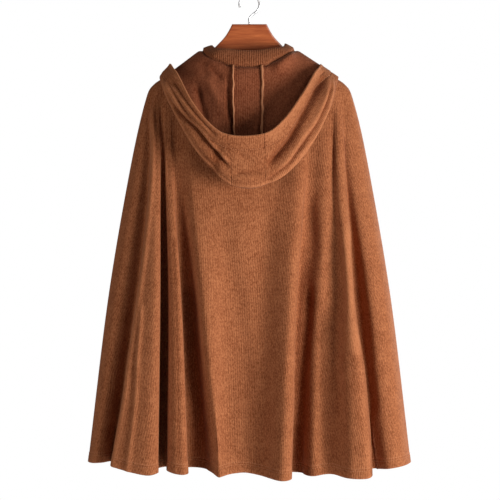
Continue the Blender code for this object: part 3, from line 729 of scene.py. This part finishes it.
def neckline(places):
    """Points just above the neck ring, in the same directions as the places."""
    level = level_at(NECK)
    edge = ring(NECK, ring_columns())
    turns = np.arctan2(edge[:, 1] / level.front_y, edge[:, 0] / level.side_x)
    order = np.argsort(turns)
    wanted = np.arctan2(places[:, 1] / level.front_y, places[:, 0] / level.side_x)
    points = points_at(wanted, turns[order], edge[order], period=2 * math.pi)
    points -= unit(points * [1, 1, 0]) * CLOTH / 2
    points[:, 2] += NECK_RISE
    return points


def section_points(edge, numbers):
    """One section of the band and the hood, from the neckline to the lip."""
    neck, fold, lip = numbers[0:3], numbers[3:6], numbers[6:9]
    pouch, stand = numbers[9:11]
    fall = fold - neck
    rise = lip - fold
    out = unit(rise - rise.dot(unit(fall)) * unit(fall))
    from_neck = HANDLE * fall - HANDLE_LEAN * pouch * out
    at_fold = POUCH_TURN * pouch * out
    at_lip = lip - HANDLE * rise + HANDLE_LEAN * pouch * out
    band = [edge, edge + np.array([0, 0, stand]), neck - unit(from_neck) * stand, neck]
    inner = [neck, neck + from_neck, fold - at_fold, fold]
    outer = [fold, fold + at_fold, at_lip, lip]
    parts = [
        bezier(band, BAND_FACES),
        bezier(inner, INNER_FACES, INNER_CROWDING),
        bezier(outer, OUTER_FACES),
    ]
    return np.concatenate([*parts, lip[None]])


def collar_surface():
    """The middle surface of the band and the hood: a row for each station round the
    neck, and in it the points from the neckline to the lip."""
    keys = hood_sections()
    knots = knots_along(keys[:, 3:6])
    stations = np.arange((len(keys) - 1) * SECTION_STEPS + 1) / SECTION_STEPS
    places = np.interp(stations, range(len(keys)), knots)
    rows = spline(knots, keys, places)
    return np.array([section_points(*both) for both in zip(neckline(rows[:, :3]), rows)])


SHOULDER_PASSES = 24  # how often the hood's turn over the shoulders is rounded
SHOULDER_DEPTH = 30
BACK_START, BACK_FADE = 20, 40  # the y where the shapes of the hood's back begin
LOW_START, LOW_FADE = -25, 35  # and those of its low part alone
FOLD_FADE = 6  # how many faces the creases take to begin, past the fold
LIP_TURN = 26
LIP_DIP_WIDTH = 1.3
LIP_ROUND, LIP_ROUND_WIDTH = 1.2, 5  # how much the very edge thickens, to each side
LIP_ROLL, LIP_ROLL_WIDTH = 6, 13  # how far it rolls in on the left, and out on the right
LIP_ROLL_SPAN, LIP_ROLL_SHARE = 150, 0.1
LIP_SHIFT = 4.5  # how far the lip lies over to the left
RIM_PLACE = 12  # where the ridge along the hood's lower edge lies, from its fold
RIM_RIDGE, RIM_WIDTH = 4, 3.2
RIM_FULL, RIM_FULL_PLACE, RIM_FULL_WIDTH = 5, 22, 11  # the cloth just above that ridge
BAND_HALF = 90  # half the band's width
BAND_ROLL, BAND_ROLL_LOSS = 4.5, 0.8  # how far it stands off the hood, less at its sides
BAND_LEAN = 11  # how far its top leans in at the shoulders
BAND_GROOVE, BAND_GROOVE_WIDTH = 5, 5
PUCKER, PUCKER_PITCH, PUCKER_WIDTH = 0.6, 8.5, 7
PUCKER_DRIFT, DRIFT_LENGTH = 1.7, 23

# Painted highlight and painted shade along the hood's edges and seams, as if on creases that rise
# so far, and how wide they are.
RIM_HIGHLIGHT = 1.6 * RIM_RIDGE
LIP_HIGHLIGHT, LIP_HIGHLIGHT_WIDTH = 5, 3.5
RIGHT_HIGHLIGHT, RIGHT_HIGHLIGHT_PLACE, RIGHT_HIGHLIGHT_WIDTH, RIGHT_HIGHLIGHT_FADE = 3, 8, 9, 60
SEAM_SHADE, SEAM_SHADE_WIDTH = 2, 1.8
LIP_TURN_SHADE, LIP_TURN_WIDTH = 2.5, 1.8


def puckers(along, down, seam):
    """Small uneven ripples in the cloth on both sides of a seam."""
    drift = PUCKER_DRIFT * np.sin(down / DRIFT_LENGTH)
    wave = np.sin(2 * math.pi * down / PUCKER_PITCH + drift + seam)
    return PUCKER * wave * bell(along - along[seam], PUCKER_WIDTH)


def collar_shape(seams):
    """The band and the hood with all their relief, as a middle surface with its UV map
    in mm and its painted shade and highlight."""
    grid = collar_surface()
    on_shoulder = bell(grid[1:-1, FOLD : FOLD + 1, 1:2], SHOULDER_DEPTH)
    for _ in range(SHOULDER_PASSES):
        between = (grid[:-2] + 2 * grid[1:-1] + grid[2:]) / 4
        grid[1:-1] += (between - grid[1:-1]) * on_shoulder
    normals = grid_normals(grid)
    down = path_lengths(grid, 1)
    along = path_lengths(grid, 0)
    along = along - along[len(grid) // 2]
    at_back = ease((BACK_START - grid[..., 1]) / BACK_FADE)[INSIDE]
    low_back = ease((LOW_START - grid[:, FOLD, 1]) / LOW_FADE)[:, None]
    lift = np.zeros(grid.shape[:2])
    pile_and_painted_light = np.zeros(grid.shape[:2])

    t = np.arange(BAND_FACES + 1) / BAND_FACES
    sideways = np.clip(grid[BAND][..., 0] / BAND_HALF, -1, 1)
    roll = BAND_ROLL * (1 - BAND_ROLL_LOSS * sideways**2)
    lift[BAND] = -roll * ease(2 * t - 0.6) * ease(4 * (1.15 - t))
    grid[BAND][..., 0] -= BAND_LEAN * sideways**3 * np.sin(math.pi * t)
    t = np.arange(OUTER_FACES + 1) / OUTER_FACES
    grid[OUTSIDE][..., 0] -= LIP_SHIFT * ease(2 * t - 1) * low_back

    inside, inside_painted_light = crease_relief(INSIDE_CREASES, grid[INSIDE])
    lift[INSIDE] = -inside * at_back
    # Painted shade in the inside's narrow hollows and painted highlight on its narrow ridges.
    pile_and_painted_light[INSIDE] = lift_to_paint(inside_painted_light * at_back)
    below = down[:, BAND_FACES:FOLD] - down[:, BAND_FACES : BAND_FACES + 1]
    lift[:, BAND_FACES:FOLD] += BAND_GROOVE * bell(below, BAND_GROOVE_WIDTH)

    x, y = grid[OUTSIDE][..., 0], grid[OUTSIDE][..., 1]
    creases = crease_relief(HOOD_CREASES, grid[OUTSIDE])[0] * ease(-y / BACK_FADE)
    creases += sum(puckers(along[OUTSIDE], down[OUTSIDE], seam) for seam in seams)
    from_fold = down[OUTSIDE] - down[:, FOLD : FOLD + 1]
    to_lip = down[:, -1:] - down[OUTSIDE]
    lean = LIP_ROLL * np.clip(LIP_ROLL_SHARE - x[:, -1:] / LIP_ROLL_SPAN, -1, 1)
    ridge = bell(from_fold - RIM_PLACE, RIM_WIDTH)
    rim = RIM_RIDGE * ridge + RIM_FULL * bell(from_fold - RIM_FULL_PLACE, RIM_FULL_WIDTH)
    lift[OUTSIDE] = creases * ease(np.arange(OUTER_FACES + 1) / FOLD_FADE)
    lift[OUTSIDE] -= lean * low_back * ease(1 - to_lip / LIP_ROLL_WIDTH) ** 2
    lift[OUTSIDE] += rim * low_back

    # Painted highlight on the rim's ridge, along the lip and near the right lip; painted shade
    # along the seams and the lip's stitched turn; painted shade and highlight over all the
    # outside's creases and puckers.
    on_right = low_back * ease(x / RIGHT_HIGHLIGHT_FADE)
    edges = RIM_HIGHLIGHT * ridge * low_back + LIP_HIGHLIGHT * bell(to_lip, LIP_HIGHLIGHT_WIDTH)
    edges += RIGHT_HIGHLIGHT * bell(to_lip - RIGHT_HIGHLIGHT_PLACE, RIGHT_HIGHLIGHT_WIDTH) * on_right
    for seam in seams:
        edges -= SEAM_SHADE * bell(along[OUTSIDE] - along[seam, FOLD:], SEAM_SHADE_WIDTH)
    edges -= LIP_TURN_SHADE * bell(to_lip - LIP_TURN, LIP_TURN_WIDTH)
    pile_and_painted_light[OUTSIDE] = lift_to_paint(creases + edges)
    return grid + normals * lift[..., None], np.stack([along, down], -1), pile_and_painted_light


def collar(surfaces, ribbed, thread):
    """The neck band, and the hood in three panels that meet at the strip's seams."""
    middle = len(HOOD_LEFT) * SECTION_STEPS
    seams = (middle - SECTION_STEPS, middle + SECTION_STEPS)
    grid, uv, pile_and_painted_light = collar_shape(seams)
    normals = grid_normals(grid)
    from_lip = path_lengths(grid[:, ::-1], 1)[:, ::-1]
    half = np.where(from_lip < LIP_TURN, HEM_CLOTH / 2, CLOTH / 2)
    half = (half + LIP_ROUND * bell(from_lip, LIP_ROUND_WIDTH))[..., None]
    groove = THREAD_DIP * bell(from_lip - LIP_TURN, LIP_DIP_WIDTH)[..., None]
    faces = (grid + normals * (half - groove), grid - normals * half)
    sides = [draw_in(side[BAND], SEAM_GAP / 2) for side in faces]
    band = cloth_object("cloth_band", *sides, uv[BAND], pile_and_painted_light[BAND], (ribbed, ribbed))
    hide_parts("neck_band")
    made = {"neck_band": (band,)}
    left, right = (0, seams[0]), (seams[1], len(grid) - 1)
    spans = {"hood_left": left, "hood_centre": seams, "hood_right": right}
    sewn = line_on(faces[0].swapaxes(0, 1), from_lip.T, LIP_TURN)
    facing = line_on(normals.swapaxes(0, 1), from_lip.T, LIP_TURN)
    for name, (first, last) in spans.items():
        panel = np.s_[first : last + 1, BAND_FACES:]
        sides = [draw_in(side[panel], SEAM_GAP / 2) for side in faces]
        sides = [draw_in(side.swapaxes(0, 1), SEAM_GAP / 2) for side in sides]
        maps = uv[panel].swapaxes(0, 1), pile_and_painted_light[panel].T
        lines = [(sewn[first : last + 1], facing[first : last + 1])]
        made[name] = sewn_panel(name, sides, *maps, surfaces, lines, thread)
    inside = faces[1][:, BAND_FACES : FOLD + 1]
    out = -normals[:, BAND_FACES : FOLD + 1]
    for name, seam in zip(("left", "right"), seams):
        made["hood_" + name] += (seam_edge(name, inside[seam], out[seam], thread),)
    return made


RIDGE_STEP = 2
RIDGE_END = 4  # how far from its path's end it ends
RIDGE_SIDES = 10
RIDGE_WIDTH = {"left": 1.7, "right": 2.3}
RIDGE_HEIGHT = 2.6

# Waves along it, each with its size, length and start.
RIDGE_WANDER = [(0.6, 9, 0), (0.4, 4.1, 1)]
RIDGE_WIDER = [(0.15, 6.3, 0)]
RIDGE_TALLER = [(0.12, 5, 2)]


def waves(at, parts):
    return sum(size * np.sin(at / length + start) for size, length, start in parts)


def seam_edge(name, path, out, surface):
    """The bound edge of a seam, a soft wavy ridge down the inside of the hood."""
    lengths = path_lengths(path, 0)
    at = np.arange(RIDGE_STEP, lengths[-1] - RIDGE_END, RIDGE_STEP)
    centre = points_at(at, lengths, path)
    out = unit(points_at(at, lengths, out))
    run = unit(np.gradient(centre, axis=0))
    side = unit(np.cross(run, out))
    centre = centre + side * waves(at, RIDGE_WANDER)[:, None]
    turns = np.linspace(0, 2 * math.pi, RIDGE_SIDES, endpoint=False)
    wide = (RIDGE_WIDTH[name] * (1 + waves(at, RIDGE_WIDER)))[:, None]
    tall = (RIDGE_HEIGHT * (1 + waves(at, RIDGE_TALLER)))[:, None]
    rings = [
        centre + side * (wide * math.cos(turn)) + out * (tall * (1 + math.sin(turn)))
        for turn in turns
    ]
    points = np.stack(rings, axis=1).reshape(-1, 3)
    faces = tube_faces(0, len(at), RIDGE_SIDES)
    made = add_smooth("seam_edge_" + name, points, faces, surface)
    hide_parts("seam_ridge_" + name)
    return made


def new_material(name, values):
    """A new material, and its shader with the values set on its own sockets."""
    made = bpy.data.materials.new(name)
    made.use_nodes = True
    shader = made.node_tree.nodes["Principled BSDF"]
    for key, value in values.items():
        shader.inputs[key].default_value = value
    return made, shader


def add_node(tree, kind, inputs=(), **settings):
    """A new node. Each of its inputs takes a value, or the socket that feeds it."""
    made = tree.nodes.new("ShaderNode" + kind)
    for key, value in settings.items():
        setattr(made, key, value)
    for key, value in dict(inputs).items():
        if isinstance(value, bpy.types.NodeSocket):
            tree.links.new(value, made.inputs[key])
        else:
            made.inputs[key].default_value = value
    return made


def maths(tree, operation, *values, clamp=False):
    """What a Math node makes of values and sockets."""
    inputs = enumerate(values)
    return add_node(tree, "Math", inputs, operation=operation, use_clamp=clamp).outputs[0]


def noise(tree, place, scale, detail, roughness=0.5, distortion=0):
    """A noise texture's value."""
    inputs = {"Vector": place, "Scale": scale, "Detail": detail}
    inputs.update({"Roughness": roughness, "Distortion": distortion})
    return add_node(tree, "TexNoise", inputs).outputs["Fac"]


def stretched(tree, place, scale):
    return add_node(tree, "Mapping", {"Vector": place, "Scale": scale}).outputs["Vector"]


def finish_material(tree, shader, shade, colours, relief):
    """The shader's colour from a ramp over the shade, and its fine relief: the height,
    how strong it is, and how deep in metres."""
    ramp = add_node(tree, "ValToRGB", {"Fac": shade})
    for element, (position, colour) in zip(ramp.color_ramp.elements, colours):
        element.position = position
        element.color = (*colour, 1)
    bump = add_node(tree, "Bump", zip(("Height", "Strength", "Distance"), relief))
    tree.links.new(ramp.outputs["Color"], shader.inputs["Base Color"])
    tree.links.new(bump.outputs["Normal"], shader.inputs["Normal"])


FLEECE = {
    "Roughness": 0.92,
    "Specular IOR Level": 0.1,
    "Sheen Weight": 0.08,
    "Sheen Roughness": 0.45,
    "Sheen Tint": (1, 0.78, 0.6, 1),
}
# The ends of the fleece's colour ramp: its darkest tone, reached in painted shade, and its
# lightest, reached in painted highlight.
DARK_TONE_AND_SHADE = (0.163, 0.042, 0.0135)
LIGHT_TONE_AND_HIGHLIGHT = (0.405, 0.15, 0.064)
RIB_WANDER = 2.2  # how far the ribs stray sideways, as a phase
RIB_GROOVE_SHADE = 0.17  # how much lighter a rib is than its grooves, as painted shade in the grooves, in shares of the way from dark to light
SPECKLE = 2.3
MOTTLE = 0.5
# how far the painted shade and highlight move the colour along the ramp
PAINTED_LIGHT_TONE = 0.45


def fleece_material(name, pitch, tone=(1, 1, 1), relief=1):
    """A soft brushed knit with fine ribs, each pitch mm wide, along the cloth's length. Its
    colour holds painted shade in the rib grooves, and the mesh's painted shade and highlight.
    """
    made, shader = new_material(name, FLEECE)
    tree = made.node_tree
    place = add_node(tree, "TexCoord").outputs["Object"]
    uv = add_node(tree, "UVMap", uv_map="cloth").outputs["UV"]
    across_cloth = add_node(tree, "SeparateXYZ", {"Vector": uv}).outputs["X"]
    phase = maths(tree, "MULTIPLY", across_cloth, 2 * math.pi / (pitch * MM))
    wander = noise(tree, place, 40, 2)
    rib = maths(tree, "SINE", maths(tree, "MULTIPLY_ADD", wander, RIB_WANDER, phase))
    pile_and_painted_light = noise(tree, stretched(tree, place, (1, 1, 0.55)), 430, 3, 0.6)
    patch = noise(tree, place, 38, 3)

    # Painted shade in the rib grooves, lighter on the ribs.
    rib_groove_shade = maths(tree, "MULTIPLY_ADD", rib, RIB_GROOVE_SHADE * relief, 0.5)
    speckle = maths(tree, "MULTIPLY_ADD", pile_and_painted_light, SPECKLE, -SPECKLE / 2)
    mottle = maths(tree, "MULTIPLY_ADD", patch, MOTTLE, -MOTTLE / 2)
    tones = maths(tree, "ADD", maths(tree, "ADD", rib_groove_shade, speckle), mottle)
    # The mesh's painted shade and highlight moves the colour along the ramp.
    painted_light = add_node(tree, "Attribute", attribute_name="pile_and_painted_light").outputs["Fac"]
    shade = maths(tree, "MULTIPLY_ADD", painted_light, PAINTED_LIGHT_TONE, tones, clamp=True)
    colours = [
        (end, [part * share for part, share in zip(colour, tone)])
        for end, colour in enumerate((DARK_TONE_AND_SHADE, LIGHT_TONE_AND_HIGHLIGHT))
    ]
    height = maths(tree, "MULTIPLY_ADD", rib, 0.5 * relief, pile_and_painted_light)
    finish_material(tree, shader, shade, colours, (height, 0.5, 0.0006))
    return made


def wood_material():
    """Reddish varnished hardwood, with its grain along the hanger's arms."""
    varnish = {"Roughness": 0.38, "Coat Weight": 0.35, "Coat Roughness": 0.2}
    made, shader = new_material("varnished_wood", varnish)
    tree = made.node_tree
    place = add_node(tree, "TexCoord").outputs["Object"]
    grain = noise(tree, stretched(tree, place, (9, 60, 120)), 1.6, 6, 0.6, 0.6)
    colours = [(0.3, (0.25, 0.045, 0.012)), (0.72, (0.50, 0.135, 0.04))]
    finish_material(tree, shader, grain, colours, (grain, 0.15, 0.0004))
    return made


# Thread of the cloth's own colour, a little lighter and smoother.
THREAD = {"Base Color": (0.42, 0.17, 0.08, 1), "Roughness": 0.7, "Specular IOR Level": 0.2}
STEEL = {"Base Color": (0.5, 0.5, 0.52, 1), "Metallic": 1, "Roughness": 0.34}
PAPER = {"Base Color": (0.8, 0.8, 0.8, 1), "Roughness": 0.8}
FLOOR_HEIGHT = -2
FLOOR_RADIUS = 1.7
WHITE = (1, 1, 1, 1)
AMBIENT = 0.07

# Soft discs of light: place, aim and size in metres, power in watts, and colour.
Light = namedtuple("Light", "name place aim size power colour")
LIGHTS = [
    Light("key", (2.05, -1.75, -0.85), (0, 0, -0.5), 1.3, 101.5, (1, 0.98, 0.95)),
    Light("fill", (-2.3, -1.5, -0.5), (0, 0, -0.5), 1.4, 25.5, (1, 0.93, 0.86)),
    Light("top", (1.5, -1.2, 1.3), (0, 0, -0.3), 0.9, 13, (1, 0.98, 0.95)),
    Light("back", (1.5, 2.2, -0.1), (0, 0, -0.55), 1.5, 80, (1, 0.99, 0.97)),
]


def add_light(light):
    disc = bpy.data.lights.new(light.name, "AREA")
    disc.shape = "DISK"
    disc.size = light.size
    disc.energy = light.power
    disc.color = light.colour
    made = add_object(light.name, disc)
    made.location = light.place
    x, y, z = np.array(light.aim) - np.array(light.place)
    turn, tilt = math.atan2(y, x) - math.pi / 2, math.atan2(z, math.hypot(x, y))
    made.rotation_euler = (math.pi / 2 + tilt, 0, turn)


def studio():
    """A pale floor, a white surround and soft lights, the main one from the right."""
    scene = bpy.context.scene
    scene.view_settings.view_transform = "Standard"
    world = bpy.data.worlds.new("studio")
    world.use_nodes = True
    tree = world.node_tree
    ambient = tree.nodes["Background"]
    ambient.inputs["Color"].default_value = WHITE
    ambient.inputs["Strength"].default_value = AMBIENT
    white = add_node(tree, "Background", {"Color": WHITE})
    to_camera = add_node(tree, "LightPath").outputs["Is Camera Ray"]
    sources = enumerate((to_camera, ambient.outputs[0], white.outputs[0]))
    mix = add_node(tree, "MixShader", sources)
    tree.links.new(mix.outputs[0], tree.nodes["World Output"].inputs["Surface"])
    scene.world = world

    bm = bmesh.new()
    bmesh.ops.create_circle(bm, cap_ends=True, radius=FLOOR_RADIUS, segments=64)
    mesh = bpy.data.meshes.new("floor")
    bm.to_mesh(mesh)
    bm.free()
    floor = add_object("floor", mesh, new_material("pale_floor", PAPER)[0])
    floor.location = (0, 0, FLOOR_HEIGHT)
    for light in LIGHTS:
        add_light(light)


def camera():
    lens = bpy.data.cameras.new("camera")
    lens.sensor_width = SENSOR_WIDTH
    lens.lens = SENSOR_WIDTH * CAMERA_AWAY / VIEW_WIDTH
    made = add_object("camera", lens)
    made.location = (CAMERA_X * MM, -CAMERA_AWAY * MM, CAMERA_Z * MM)
    made.rotation_euler = (math.pi / 2, 0, 0)
    bpy.context.scene.camera = made


# A record for the flat size of a piece of cloth, in metres and square metres, which no piece here
# uses.
Cut = namedtuple("Cut", "width length area held rests_on")

FLEECE_PITCH, BAND_PITCH = 3.5, 4.4  # from rib to rib
# The inner face of the cloth is darker: partly its own wrong-side colour, partly painted shade for
# the hood's deep inside.
REVERSE_TONE_AND_SHADE = (0.68, 0.58, 0.62)
# The band's colour, darkened as painted shade for the shade among its deep ribs.
BAND_SHADE_TONE = (0.7, 0.66, 0.67)


def main():
    camera()
    studio()
    fleece = fleece_material("ribbed_fleece", FLEECE_PITCH)
    reverse_and_shade = fleece_material("fleece_reverse_and_shade", FLEECE_PITCH, REVERSE_TONE_AND_SHADE)
    ribbed = fleece_material("ribbed_band", BAND_PITCH, BAND_SHADE_TONE, relief=2)
    thread = new_material("thread", THREAD)[0]
    pieces = body((fleece, reverse_and_shade), thread)
    pieces.update(collar((fleece, reverse_and_shade), ribbed, thread))
    for name, (cloth, *others) in pieces.items():
        for piece in (cloth, *others):
            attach(piece, "root")
    bpy.data.objects["hanger"].material_slots[0].material = wood_material()
    steel = new_material("polished_steel", STEEL)[0]
    bpy.data.objects["hook"].material_slots[0].material = steel


main()
